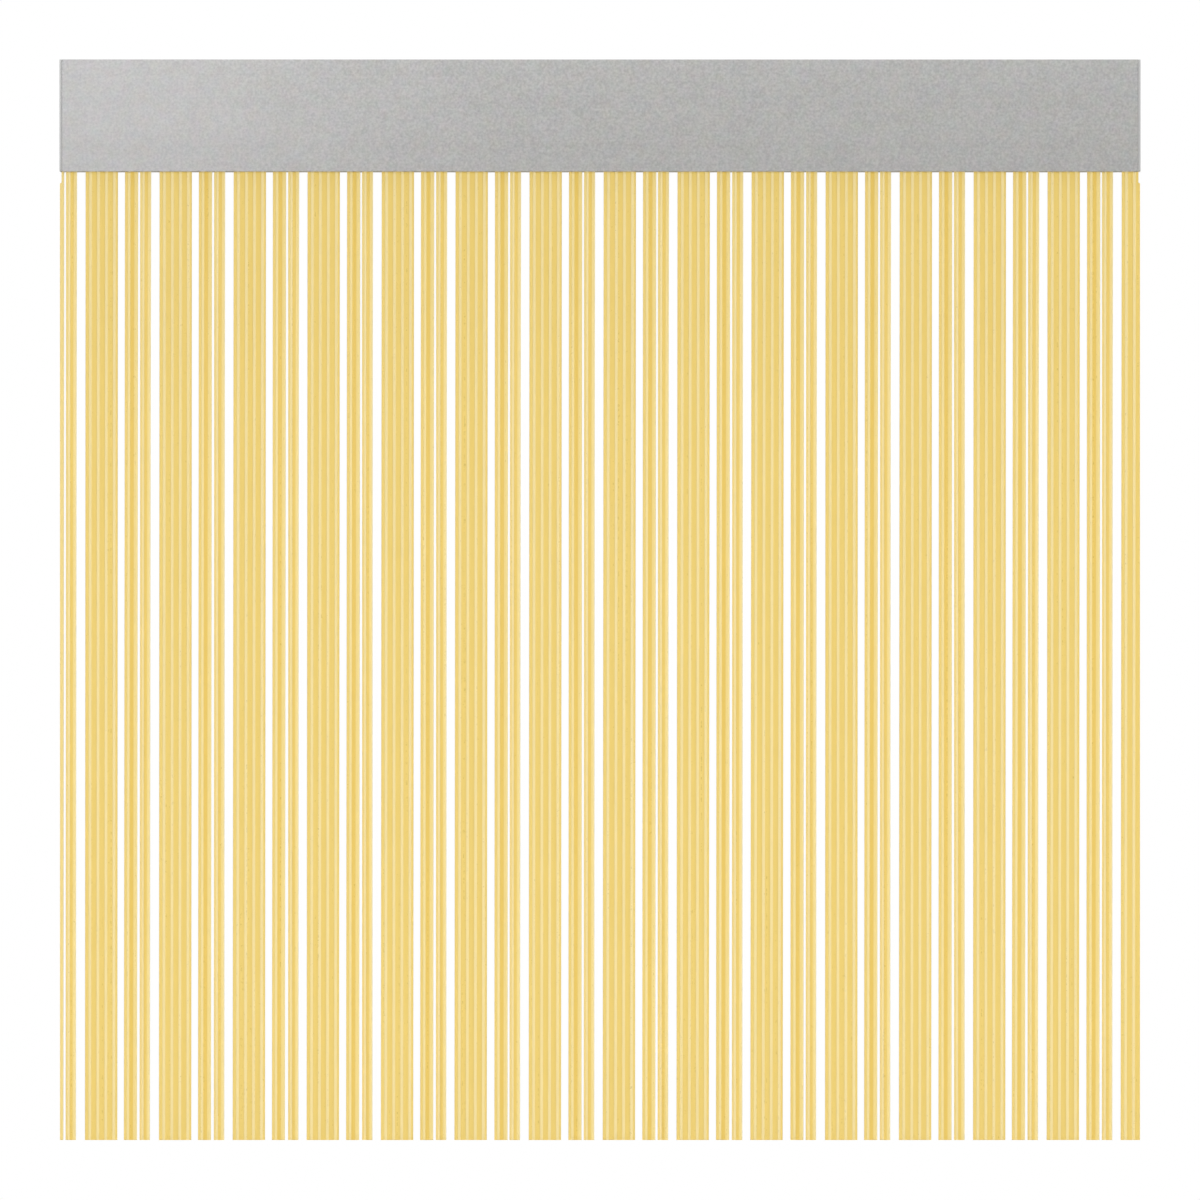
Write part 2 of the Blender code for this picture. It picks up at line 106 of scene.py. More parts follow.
# How deep the amber looks through each part of a section, in millimetres of PVC, and how much
# deeper at the cut end, over what reach: a painted shade for light carried down the length
wide_depths = {"edge": 1.95, "web": 0.80, "rib": 2.15}
broad_depths = {"edge": 1.90, "web": 0.88, "rib": 2.75, "shoulder": 1.40, "lip": 1.00}
slim_depths = {"edge": 1.50, "web": 0.66, "rib": 2.42, "shoulder": 1.30, "lip": 0.76}
painted_end_shade = 0.6
painted_end_shade_reach = 0.0009

# How a ribbon hangs, and how far down an outermost one is notched to clear its end cap
wide_count, narrow_count = 15, 30
lean_at_rod = 0.00025
slim_lean_at_rod = -0.0001
lean_at_end = -0.00055
slim_turn_degrees = 25
broad_turn_degrees = 12
turn_reach = 0.12
own_shift_at_rod = 0.0001
own_shift_at_end = 0.0003
own_turn_degrees = 2
bow_size = 0.0009
bow_half_waves = 1.5
notch_drop = 0.0157

# Mesh of a ribbon: columns to each part, round edge and slit ribbon, and rows from the cut end
# up to the notch and the eye, where they crowd towards the strip
part_columns = 4
edge_columns = 6
slit_columns = {"left": 22, "right": 72}
least_column = 0.00003
cut_reach = 0.00015
cut_rows = (0, cut_reach, 0.0005, 0.0015)
first_row = 0.005
strip_rows = 46
notch_step = 0.0003
eye_steps = 22
eye_crowding = 1.7

# Rail section
back_wall = 0.0025
shelf_wall = 0.0020
hook_wall = 0.0015
hook_reach = 0.0140
hook_drop = 0.0038
port_bore = 0.00125
port_wall = 0.0013
port_bite = 0.00025
port_slit = 0.0010
track_wall = 0.0015
track_lip = 0.0025
track_height = 0.0045
track_room = 0.0068
comb_track_wall = 0.0012
comb_track_lip = 0.0018
comb_wall = 0.0024
comb_height = 0.0090
fascia_wall = 0.0020
clip_wall = 0.0015
clip_reach = 0.0050
wall_hole_radius = 0.00275
wall_hole_count = 4
wall_hole_chamfer = 0.0004

# Brackets and comb
bracket_count = 4
bracket_head_width = 0.0139
bracket_wall = 0.0022
tooth_prong_wall = 0.0021
tooth_prong_drop = 0.0010

# End caps and screws
cap_wall = 0.0020
cap_relief_wall = 0.0010
cap_corner = 0.0015
cap_back_corner = 0.0008
plug_length = 0.0100
plug_wall = 0.0015
screw_head_radius = 0.0025
screw_head_height = 0.0014
screw_shank_radius = 0.0011
screw_length = 0.0110
screw_hole_gap = 0.0003
screw_edge_width = 0.00015
screw_edge_height = 0.00012
screw_tip_length = 0.0005
screw_tip_radius = 0.0003
thread_start = 0.0006
thread_end = 0.0012
thread_pitch = 0.0008
thread_depth = 0.00012
recess_length = 0.0026
recess_width = 0.0006
recess_depth = 0.0007
recess_shares = (1.6, 1.0, 0.35)

# Rounded edges and corners, the chamfer of the rod, and the overrun of cutting shapes
extrusion_edge = 0.0003
extrusion_end_edge = 0.0001
face_edge = 0.0004
face_end_edge = 0.00012
moulded_edge = 0.00025
moulded_corner = 0.0005
spine_corner = 0.0004
tooth_edge = 0.0002
cap_edge = 0.0003
cap_hollow_edge = 0.0002
cap_relief_edge = 0.0001
box_corner_per_edge = 2.5
rod_chamfer = 0.0004
overrun = 0.0020

# Sides and steps of round shapes, and the angles up to which a surface is smooth
hole_sides = 48
rod_sides = 64
screw_sides = 40
port_arc_steps = 9
port_bore_steps = 30
bracket_arc_points = 40
smooth_degrees = 38
ribbon_smooth_degrees = 50

# Worked out from the sizes above
rail_half_length = half_width - cap_wall - cap_seam
fascia_inner = rail_depth - fascia_wall
hook_bottom = rail_top - fascia_wall - hook_drop
shelf_top = hook_bottom - fit_gap
shelf_bottom = shelf_top - shelf_wall
hook_back = rail_depth - hook_reach
upstand_back = hook_back + hook_wall + fit_gap
upstand_front = upstand_back + hook_wall
comb_leg_top = rod_height + comb_track_wall
comb_bottom = comb_leg_top + fit_gap
comb_top = comb_bottom + comb_height
comb_leg_bottom = comb_top + fit_gap
comb_inner = back_wall + comb_wall + 2 * fit_gap
comb_front = comb_inner + comb_track_wall
track_half = bracket_head_width / 2 + fit_gap
track_bottom = comb_leg_bottom + comb_track_wall + track_room
mid_bottom = track_bottom + track_wall + track_height
mid_top = mid_bottom + shelf_wall
mid_front = fascia_inner - fit_gap
port_inset = port_bore + port_wall - port_bite
bore_radius = rod_radius + rod_gap
ribbon_drop = rod_height - ribbon_end

random = np.random.default_rng(seed=7)


# Meshes


def add_piece(name, points, face_sets, material, slot=None, smooth=smooth_degrees):
    """A mesh object of points (n, 3) and arrays of faces (m, corners), smooth up to an angle."""
    mesh = bpy.data.meshes.new(name)
    points = np.asarray(points, np.float32).reshape(-1, 3)
    corners = np.concatenate([np.asarray(faces, np.int32).ravel() for faces in face_sets])
    sizes = np.concatenate([np.full(len(faces), np.shape(faces)[1]) for faces in face_sets])
    mesh.vertices.add(len(points))
    mesh.vertices.foreach_set("co", points.ravel())
    mesh.loops.add(len(corners))
    mesh.loops.foreach_set("vertex_index", corners)
    mesh.polygons.add(len(sizes))
    mesh.polygons.foreach_set("loop_start", (np.cumsum(sizes) - sizes).astype(np.int32))
    mesh.update(calc_edges=True)
    mesh.validate()
    piece = bpy.data.objects.new(name, mesh)
    bpy.context.scene.collection.objects.link(piece)
    mesh.materials.append(material)
    finish_shading(mesh, smooth)
    return piece


def finish_shading(mesh, smooth=smooth_degrees):
    """Smooth shading, with the edges sharper than an angle kept sharp."""
    mesh.shade_smooth()
    mesh.set_sharp_from_angle(angle=np.radians(smooth))


def grid_faces(rows, columns, close_rows=False, close_columns=False):
    """Quads of a grid, whose last row or last column can be joined to its first."""
    row = np.arange(rows if close_rows else rows - 1)[:, None]
    column = np.arange(columns if close_columns else columns - 1)[None, :]
    after_row, after_column = (row + 1) % rows, (column + 1) % columns
    quads = [row * columns + column, row * columns + after_column,
             after_row * columns + after_column, after_row * columns + column]
    return np.stack(np.broadcast_arrays(*quads), -1).reshape(-1, 4)


def closed_rings(rings, count):
    """Faces of a stack of rings of count points each, with a flat at each end."""
    total = rings * count
    return [grid_faces(rings, count, close_columns=True), np.arange(count)[None, ::-1],
            np.arange(total - count, total)[None, :]]


def rounded(outline, reach, steps=4):
    """Rounds each corner P of a closed outline with (1-s)^2 A + 2s(1-s) P + s^2 C.

    A and C lie on the corner's two sides, at the reach from it or less where a side is short.
    """
    most_share = 0.45
    corner = np.array(outline, float)
    to_last, to_next = np.roll(corner, 1, 0) - corner, np.roll(corner, -1, 0) - corner
    last, after = np.linalg.norm(to_last, axis=1), np.linalg.norm(to_next, axis=1)
    most = most_share * np.minimum(last, after)
    used = np.minimum(np.broadcast_to(reach, last.shape), most)
    a = corner + to_last * (used / last)[:, None]
    c = corner + to_next * (used / after)[:, None]
    s = np.linspace(0, 1, steps + 1)[None, :, None]
    curves = (1 - s) ** 2 * a[:, None] + 2 * s * (1 - s) * corner[:, None] + s * s * c[:, None]
    return curves.reshape(-1, 2)


def outline_area(outline):
    """The signed area of a closed outline, by the shoelace sum."""
    after = np.roll(outline, -1, 0)
    return (outline[:, 0] * after[:, 1] - after[:, 0] * outline[:, 1]).sum() / 2


def inset(outline, distance):
    """Moves every side of a closed outline inwards by a distance."""
    least_side, least_sum = 1e-12, 0.2
    along = np.roll(outline, -1, 0) - outline
    along /= np.maximum(np.linalg.norm(along, axis=1), least_side)[:, None]
    inward = np.stack([-along[:, 1], along[:, 0]], 1) * np.sign(outline_area(outline))
    before = np.roll(inward, 1, 0)
    mean = (inward + before) / np.maximum(1 + (inward * before).sum(1), least_sum)[:, None]
    return outline + mean * distance


def long_prism(outline, start, end, edge, steps=3):
    """Points and faces of a (depth, height) outline carried along X, its end edges rounded.

    Near each end, at angle a of a quarter turn, the ring is inset by edge (1 - sin a) and lies
    edge (1 - cos a) inside that end.
    """
    outline = np.array(outline, float)
    if outline_area(outline) > 0:
        outline = outline[::-1]
    angle = np.linspace(0, np.pi / 2, steps + 1)
    inward, along = edge * (1 - np.sin(angle)), edge * (1 - np.cos(angle))
    places = np.concatenate([start + along, (end - along)[::-1]])
    rings = [inset(outline, d) for d in np.concatenate([inward, inward[::-1]])]
    flat = np.stack(rings)
    x = np.broadcast_to(places[:, None], flat.shape[:2])
    points = np.stack([x, -flat[..., 0], flat[..., 1]], -1)
    return points.reshape(-1, 3), closed_rings(len(places), len(outline))


def turned(profile, sides, centre=(0, 0, 0), towards=1):
    """Points and faces of (place along X, radius) pairs turned about X, with a flat at each end."""
    place, radius = np.array(profile, float).T
    turn = 2 * np.pi * np.arange(sides) / sides
    y, z = np.outer(radius, np.cos(turn)), np.outer(radius, np.sin(turn)) * towards
    x = np.broadcast_to(place[:, None] * towards, y.shape)
    points = np.stack([x, y, z], -1).reshape(-1, 3) + np.array(centre)
    return points, closed_rings(len(place), sides)


def chamfered_bore(start, end, radius, chamfer):
    """Profile of a cutter for a round hole from start to end, wider by a chamfer at its mouths."""
    wide = radius + chamfer
    return [(start - overrun, wide + overrun), (start, wide), (start + chamfer, radius),
            (end - chamfer, radius), (end, wide), (end + overrun, wide + overrun)]


def faces_outwards(piece):
    """Turns a closed mesh round if its signed volume, the sum of a.(b x c)/6, is negative."""
    mesh = piece.data
    mesh.calc_loop_triangles()
    corner = np.zeros(len(mesh.loop_triangles) * 3, np.int32)
    mesh.loop_triangles.foreach_get("vertices", corner)
    place = np.zeros(len(mesh.vertices) * 3)
    mesh.vertices.foreach_get("co", place)
    a, b, c = place.reshape(-1, 3)[corner.reshape(-1, 3)].transpose(1, 0, 2)
    if (a * np.cross(b, c)).sum() < 0:
        mesh.flip_normals()


def combine(piece, shape, operation="DIFFERENCE"):
    """Applies an exact Boolean of a closed shape, its points and faces, to a piece's mesh."""
    cutter = add_piece("shape", *shape, piece.data.materials[0])
    faces_outwards(piece)
    faces_outwards(cutter)
    change = piece.modifiers.new("combine", "BOOLEAN")
    change.operation, change.solver, change.object = operation, "EXACT", cutter
    depsgraph = bpy.context.evaluated_depsgraph_get()
    mesh = bpy.data.meshes.new_from_object(piece.evaluated_get(depsgraph))
    piece.modifiers.clear()
    old, piece.data = piece.data, mesh
    bpy.data.meshes.remove(old)
    bpy.data.objects.remove(cutter, do_unlink=True)
    finish_shading(piece.data)


def place_piece(piece, body, *nodes):
    """Makes a finished piece ride on its body and stand for its CAD nodes."""
    faces_outwards(piece)
    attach(piece, body)
    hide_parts(*nodes)


# Shader tools


def add_node(tree, kind, values=(), **settings):
    """Adds a node with its settings; values maps an input's name or number to a value or link."""
    made = tree.nodes.new(kind)
    for name, value in settings.items():
        setattr(made, name, value)
    for name, value in dict(values).items():
        if isinstance(value, bpy.types.NodeSocket):
            tree.links.new(value, made.inputs[name])
        else:
            made.inputs[name].default_value = value
    return made


def calculate(tree, operation, *values):
    """The result of a Math node."""
    return add_node(tree, "ShaderNodeMath", enumerate(values), operation=operation).outputs[0]


def blend_colours(tree, factor, a, b, way="MIX"):
    """The result of a colour Mix node."""
    mix = add_node(tree, "ShaderNodeMix", {0: factor, 6: a, 7: b}, data_type="RGBA",
                   blend_type=way)
    return mix.outputs[2]


def spread(tree, value, low, high):
    """Maps a value of 0 to 1 onto low to high."""
    return calculate(tree, "MULTIPLY_ADD", value, high - low, low)


def noise(tree, where, scale, detail, roughness):
    """A Noise texture at a place."""
    return add_node(tree, "ShaderNodeTexNoise", {
        "Vector": where, "Scale": scale, "Detail": detail, "Roughness": roughness})


def new_group(name, inputs, outputs):
    """An empty shader node group with float inputs (name, default) and outputs (name, kind)."""
    tree = bpy.data.node_groups.new(name, "ShaderNodeTree")
    for label, default in inputs:
        socket = tree.interface.new_socket(label, in_out="INPUT", socket_type="NodeSocketFloat")
        socket.default_value = default
    for label, kind in outputs:
        tree.interface.new_socket(label, in_out="OUTPUT", socket_type="NodeSocket" + kind)
    return tree, tree.nodes.new("NodeGroupInput"), tree.nodes.new("NodeGroupOutput")


def place_group(tree, group, **values):
    """Places a node group in a material; an underscore in a value's name stands for a space."""
    named = {name.replace("_", " "): value for name, value in values.items()}
    return add_node(tree, "ShaderNodeGroup", named, node_tree=group)


def grain_group():
    """Fine grain: two sizes of soft specks mixed, wide soft patches, and a faint mixed tint."""
    tree, given, result = new_group(
        "fine_grain", [("Specks per metre", 450), ("Finer", 3), ("Share of fine", 0.35)],
        [("Grain", "Float"), ("Patches", "Float"), ("Tint", "Color")])
    where = add_node(tree, "ShaderNodeTexCoord").outputs["Object"]
    specks = given.outputs["Specks per metre"]
    finer = calculate(tree, "MULTIPLY", specks, given.outputs["Finer"])
    coarse = noise(tree, where, specks, detail=1.0, roughness=0.5)
    fine = noise(tree, where, finer, detail=2.0, roughness=0.6)
    patches = noise(tree, where, scale=28.0, detail=3.0, roughness=0.55)
    tint = noise(tree, where, scale=95.0, detail=2.0, roughness=0.6)
    mix = add_node(tree, "ShaderNodeMix", {
        0: given.outputs["Share of fine"], 2: coarse.outputs["Fac"], 3: fine.outputs["Fac"]},
        data_type="FLOAT")
    tree.links.new(mix.outputs[0], result.inputs["Grain"])
    tree.links.new(patches.outputs["Fac"], result.inputs["Patches"])
    tree.links.new(tint.outputs["Color"], result.inputs["Tint"])
    return tree


def drawn_lines_group():
    """Fine lines along one axis, as a die leaves them: noise stretched along that axis."""
    tree, given, result = new_group(
        "drawn_lines", [("Along X", 0), ("Along Z", 0), ("Lines per metre", 900)],
        [("Lines", "Float")])
    stretch = 0.0008
    where = add_node(tree, "ShaderNodeTexCoord").outputs["Object"]
    parts = add_node(tree, "ShaderNodeSeparateXYZ", {0: where}).outputs
    scaled = {1: parts[1]}
    for axis, label in ((0, "Along X"), (2, "Along Z")):
        scale = add_node(tree, "ShaderNodeMix", {0: given.outputs[label], 2: 1.0, 3: stretch})
        scaled[axis] = calculate(tree, "MULTIPLY", parts[axis], scale.outputs[0])
    joined = add_node(tree, "ShaderNodeCombineXYZ", scaled).outputs[0]
    lines = noise(tree, joined, given.outputs["Lines per metre"], detail=3.0, roughness=0.65)
    tree.links.new(lines.outputs["Fac"], result.inputs["Lines"])
    return tree


def new_material(name, **constants):
    """A Principled material, with constants set on the shader's own sockets."""
    material = bpy.data.materials.new(name)
    material.use_nodes = True
    shader = material.node_tree.nodes["Principled BSDF"]
    for label, value in constants.items():
        shader.inputs[label.replace("_", " ")].default_value = value
    return material, material.node_tree, shader


def finish_material(tree, shader, colour, roughness, height, bump_depth):
    """Feeds a colour and a roughness into the shader, and a height through a Bump node."""
    bump = add_node(tree, "ShaderNodeBump", {
        "Height": height, "Distance": bump_depth, "Strength": 1.0}).outputs["Normal"]
    for label, value in (("Base Color", colour), ("Roughness", roughness), ("Normal", bump)):
        tree.links.new(value, shader.inputs[label])


# Materials


def satin_aluminium(grain, lines):
    """Blasted and anodised aluminium: mottled grain, faint die lines, soft patches."""
    dark, bright = (0.382, 0.380, 0.372, 1), (0.539, 0.535, 0.521, 1)
    line_share, patch_share, tint_share = 0.15, 0.15, 0.028
    smooth, rough = 0.34, 0.56
    line_height, bump_depth = 0.4, 0.00003
    material, tree, shader = new_material("satin_aluminium", Metallic=1.0)
    spots = place_group(tree, grain, Specks_per_metre=560, Finer=3.2, Share_of_fine=0.2).outputs
    drawn = place_group(tree, lines, Along_X=1.0, Lines_per_metre=260).outputs["Lines"]
    tone = calculate(tree, "MULTIPLY_ADD", drawn, line_share, spots["Grain"])
    tone = calculate(tree, "MULTIPLY_ADD", spots["Patches"], patch_share, tone)
    factor = add_node(tree, "ShaderNodeMapRange", {
        "Value": tone, "From Min": 0.40, "From Max": 0.90}).outputs[0]
    colour = blend_colours(tree, factor, dark, bright)
    colour = blend_colours(tree, tint_share, colour, spots["Tint"], "LINEAR_LIGHT")
    height = calculate(tree, "MULTIPLY_ADD", drawn, line_height, spots["Grain"])
    finish_material(tree, shader, colour, spread(tree, spots["Grain"], smooth, rough), height,
                    bump_depth)
    return material


def matched_grey(grain):
    """Moulded plastic with a metallic grey lacquer that matches the rail."""
    dark, bright = (0.455, 0.457, 0.449, 1), (0.565, 0.565, 0.553, 1)
    smooth, rough, bump_depth = 0.38, 0.60, 0.00004
    material, tree, shader = new_material("matched_grey", Metallic=0.85)
    spots = place_group(tree, grain, Specks_per_metre=900, Finer=2.5, Share_of_fine=0.5).outputs
    colour = blend_colours(tree, spots["Grain"], dark, bright)
    finish_material(tree, shader, colour, spread(tree, spots["Grain"], smooth, rough),
                    spots["Grain"], bump_depth)
    return material


def natural_nylon(grain):
    """Natural moulded nylon, a little warm, with a waxy sheen."""
    dark, bright = (0.74, 0.72, 0.65, 1), (0.84, 0.82, 0.77, 1)
    smooth, rough, bump_depth = 0.30, 0.52, 0.00003
    material, tree, shader = new_material("natural_nylon", IOR=1.53)
    spots = place_group(tree, grain, Specks_per_metre=600, Finer=2.5, Share_of_fine=0.4).outputs
    colour = blend_colours(tree, spots["Patches"], dark, bright)
    finish_material(tree, shader, colour, spread(tree, spots["Grain"], smooth, rough),
                    spots["Grain"], bump_depth)
    return material


def zinc_steel(grain, lines):
    """Drawn steel with bright zinc: cloudy patches and fine lines along the bar."""
    dark, bright = (0.50, 0.52, 0.55, 1), (0.66, 0.66, 0.65, 1)
    smooth, rough, bump_depth = 0.20, 0.42, 0.00003
    material, tree, shader = new_material("zinc_steel", Metallic=1.0)
    spots = place_group(tree, grain, Specks_per_metre=300, Finer=3, Share_of_fine=0.4).outputs
    drawn = place_group(tree, lines, Along_X=1.0, Lines_per_metre=1500).outputs["Lines"]
    colour = blend_colours(tree, spots["Patches"], dark, bright)
    finish_material(tree, shader, colour, spread(tree, spots["Patches"], smooth, rough), drawn,
                    bump_depth)
    return material


def amber_pvc(grain, lines):
    """Translucent amber PVC, deeper where it is thicker, and painted deeper at the cut end as
    shade.

    Each channel is e^-(clear + dyed * depth), with the depth in millimetres from the
    pvc_depth_and_end_shade attribute, a little uneven along the die lines.
    """
    clear, dyed = (0.048, 0.172, 0.588), (0.062, 0.146, 0.560)
    line_range, patch_range = (0.90, 1.10), (0.95, 1.05)
    smooth, rough, line_roughness = 0.16, 0.30, 0.16
    grain_height, bump_depth = 0.5, 0.00004
    material, tree, shader = new_material("amber_pvc", IOR=1.53, Transmission_Weight=0.15)
    drawn = place_group(tree, lines, Along_Z=1.0, Lines_per_metre=1100).outputs["Lines"]
    spots = place_group(tree, grain, Specks_per_metre=260, Finer=4, Share_of_fine=0.5).outputs
    depth = add_node(tree, "ShaderNodeAttribute", attribute_name="pvc_depth_and_end_shade").outputs["Fac"]
    for value, change in ((drawn, line_range), (spots["Patches"], patch_range)):
        depth = calculate(tree, "MULTIPLY", depth, spread(tree, value, *change))
    channels = {}
    for number, (base, slope) in enumerate(zip(clear, dyed)):
        dark = calculate(tree, "MULTIPLY_ADD", depth, -slope, -base)
        channels[number] = calculate(tree, "EXPONENT", dark)
    colour = add_node(tree, "ShaderNodeCombineColor", channels).outputs[0]
    roughness = calculate(tree, "MULTIPLY_ADD", drawn, line_roughness,
                          spread(tree, spots["Grain"], smooth, rough))
    height = calculate(tree, "MULTIPLY_ADD", spots["Grain"], grain_height, drawn)
    finish_material(tree, shader, colour, roughness, height, bump_depth)
    return material


# Ribbons


def wide_section():
    """The wide ribbon's (place, thickness, depth of colour): five ribs with webs between."""
    webs, depths = rib_count - 1, wide_depths
    inner_ribs = wide_width - left_rib_width - right_rib_width - webs * web_width
    rib_width = inner_ribs / (rib_count - 2)
    rows = [(0, rib_thickness, depths["edge"])]
    for i in range(webs):
        middle = left_rib_width + web_width / 2 + i * (rib_width + web_width)
        near, far = web_width / 2 - rib_slope / 2, web_width / 2 + rib_slope / 2
        rows += [
            (middle - far, rib_thickness, depths["edge" if i == 0 else "rib"]),
            (middle - near, web_thickness, depths["web"]),
            (middle + near, web_thickness, depths["web"]),
            (middle + far, rib_thickness, depths["edge" if i == webs - 1 else "rib"]),
        ]
    return np.array(rows + [(wide_width, rib_thickness, depths["edge"])])


def narrow_section(width, depths):
    """A narrow ribbon's section: an edge rib, a web, the main rib, a shoulder and a thin lip."""
    shares = np.array([0, *narrow_edge_shares, *narrow_web_shares, *narrow_rib_shares,
                       *narrow_shoulder_shares, 1])
    sizes = [rib_thickness, web_thickness, rib_thickness, shoulder_thickness, web_thickness]
    colours = [depths[part] for part in ("edge", "web", "rib", "shoulder", "lip")]
    return np.stack([shares * width, np.repeat(sizes, 2), np.repeat(colours, 2)], -1)


def along_section(section, place, column):
    """A section's value at places: a smoothstep from each station's value to the next one's."""
    at, value = section[:, 0], section[:, column]
    k = np.clip(np.searchsorted(at, place, side="right") - 1, 0, len(at) - 2)
    s = np.clip((place - at[k]) / (at[k + 1] - at[k]), 0, 1)
    return value[k] + (value[k + 1] - value[k]) * s * s * (3 - 2 * s)


def section_columns(section):
    """Places across a whole ribbon for its mesh: close together on slopes and round edges."""
    at = section[:, 0]
    inner = [np.linspace(a, b, part_columns, endpoint=False) for a, b in zip(at, at[1:])]
    turn = np.linspace(0, np.pi / 2, edge_columns)
    curve = edge_round * (1 - np.cos(turn))
    places = np.concatenate([*inner, curve, at[-1] - curve])
    places = np.unique(np.round(places, decimals=7))
    keep = np.concatenate([[True], np.diff(places) > least_column])
    keep[-1] = True
    return places[keep]


def edge_cut(thickness, distance):
    """What a round edge of radius r takes off a thickness at a distance d from it.

    That is r - sqrt(r^2 - (r - d)^2).
    """
    r = np.minimum(edge_round, edge_round_share * thickness)
    inside = np.clip(r - distance, 0, None)
    return r - np.sqrt(np.clip(r * r - inside * inside, 0, None))


def soft_larger(a, b, k):
    """The larger of two values with a fillet of about k between them."""
    return (a + b + np.sqrt((a - b) ** 2 + k * k)) / 2


def ribbon_outline(half, wall):
    """Rows up the front of a ribbon to the top of its eye, as (forward, drop) for each column.

    The first rows climb the strip at half its thickness. The others turn about the rod at the
    radius max(bore + wall, half / sin(angle)), with a fillet.
    """
    end, notch = ribbon_drop - neck_drop, ribbon_drop - notch_drop
    rise = np.concatenate([cut_rows, np.linspace(first_row, end, strip_rows)])
    rise = np.sort(np.append(rise, [notch - notch_step, notch + notch_step]))
    trim = cut_round * np.clip(1 - rise / cut_reach, 0, 1)[:, None]
    strip_forward = half[None, :] - trim
    strip_drop = np.broadcast_to((ribbon_drop - rise)[:, None], strip_forward.shape)
    share = (np.arange(1, eye_steps + 1) / eye_steps) ** eye_crowding
    start = np.arctan2(half, neck_drop)
    angle = start[None, :] + (np.pi - start)[None, :] * share[:, None]
    strip = half[None, :] / np.sin(np.minimum(angle, np.pi / 2))
    radius = soft_larger(bore_radius + wall[None, :], strip, eye_fillet)
    forward = np.concatenate([strip_forward, radius * np.sin(angle)])
    drop = np.concatenate([strip_drop, radius * np.cos(angle)])
    forward[-1] = 0
    return forward, drop


def ribbon_mesh(section, edges, origin, drift, columns, rounds, turn, bow):
    """Points, faces and colour depths of one ribbon, a closed strip with an eye on the rod.

    Across, a point lies at left + (right - left) c for column share c; its thickness and colour
    follow the section at its place from the origin. Down, the section turns about its middle by
    turn (1 - e^(-d / reach)) and bows by bow s sin(waves pi s), where d is the drop below the
    neck and s its share of the whole drop. Near the cut end the colour depth is painted deeper,
    as shade for light carried down the ribbon's length.
    """
    middle = np.array([ribbon_drop / 2])
    left, right = edges(middle)
    place = left + (right - left) * columns - origin - drift(middle)
    thickness = along_section(section, place, 1)
    trim = np.zeros_like(thickness)
    for is_round, distance in zip(rounds, (place - place[0], place[-1] - place)):
        if is_round:
            trim = np.maximum(trim, edge_cut(thickness / 2, distance))
    half = thickness / 2 - trim
    wall = np.maximum(eye_wall * thickness / rib_thickness - trim, least_eye_wall)

    forward, drop = ribbon_outline(half, wall)
    front = np.stack([-forward, drop], -1)
    back = np.stack([forward[-2::-1], drop[-2::-1]], -1)
    turns = np.pi * np.arange(2 * eye_steps)[:, None] / eye_steps
    angle = np.broadcast_to(turns, (2 * eye_steps, len(half)))
    bore = bore_radius * np.stack([-np.sin(angle), np.cos(angle)], -1)
    y, drop = np.moveaxis(np.concatenate([front, back, bore]), -1, 0)

    left, right = edges(drop)
    x = left + (right - left) * columns
    depth = along_section(section, x - origin - drift(drop), 2)
    # Painted shade: the cut end is made deeper amber to stand in for light carried down the ribbon
    depth = depth + painted_end_shade * np.exp(-(ribbon_drop - drop) / painted_end_shade_reach)
    below = np.clip(drop - neck_drop, 0, None)
    angle = turn * (1 - np.exp(-below / turn_reach))
    across = x - (left + right) / 2
    share = below / ribbon_drop
    turned_x = x - across + across * np.cos(angle) + y * np.sin(angle)
    turned_y = y * np.cos(angle) - across * np.sin(angle)
    turned_y = turned_y + bow * share * np.sin(bow_half_waves * np.pi * share)
    points = np.stack([turned_x, turned_y - rod_depth, rod_height - drop], -1)
    return points.reshape(-1, 3), ribbon_faces(len(forward), len(columns)), depth.ravel()


def ribbon_faces(rows, count):
    """Faces of a ribbon: its outer loop, its bore, and a side face at each edge."""
    outer_rows = 2 * rows - 1
    strip = rows - 1 - eye_steps
    around = 2 * eye_steps
    outer = grid_faces(outer_rows, count, close_rows=True)
    bore = outer_rows * count + grid_faces(around, count, close_rows=True)[:, ::-1]
    sets = [outer, bore]
    for column in (0, count - 1):
        up = np.arange(strip)
        front, back = up, outer_rows - 1 - up
        flat = np.stack([front, front + 1, back - 1, back], -1)
        j = np.arange(around)
        eye = np.stack([strip + j, strip + j + 1, outer_rows + (j + 1) % around,
                        outer_rows + j], -1)
        neck = np.array([[strip, outer_rows, outer_rows - 1 - strip]])
        for rows_used in (flat, eye, neck):
            faces = rows_used * count + column
            sets.append(faces[:, ::-1] if column else faces)
    return sets


def hang_ribbon(number, kind, section, material, at_rod, turn_degrees, slit=None):
    """Builds one ribbon where its CAD node hangs, and puts it on the node's own body."""
    node = f"{kind}_ribbon_{number:02d}"
    low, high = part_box(node)
    width = section[-1, 0]
    origin = high.x - width if slit == "left" else low.x
    columns = np.linspace(0, 1, slit_columns[slit]) if slit else section_columns(section) / width
    at_rod = at_rod + random.uniform(-1, 1) * own_shift_at_rod
    at_end = lean_at_end + random.uniform(-1, 1) * own_shift_at_end
    turn = np.radians(turn_degrees + random.uniform(-1, 1) * own_turn_degrees)
    bow = bow_size * random.uniform(-1, 1)

    def drift(drop):
        """How far its lean carries the ribbon sideways at a drop."""
        return at_rod + (at_end - at_rod) * np.clip(drop / ribbon_drop, 0, 1)

    def edges(drop):
        """The ribbon's left and right sides at a drop; a slit side is straight, with its notch."""
        side = np.where(drop < notch_drop, inside_half_length, half_width)
        left = -side if slit == "left" else origin + drift(drop)
        right = side if slit == "right" else origin + width + drift(drop)
        return left, right

    points, faces, depth = ribbon_mesh(section, edges, origin, drift, columns,
                                       (slit != "left", slit != "right"), turn, bow)
    piece = add_piece(f"amber_{kind}_{number:02d}", points, faces, material, "amber_pvc",
                      ribbon_smooth_degrees)
    colour = piece.data.attributes.new("pvc_depth_and_end_shade", "FLOAT", "POINT")
    colour.data.foreach_set("value", depth.astype(np.float32))
    place_piece(piece, node, node)


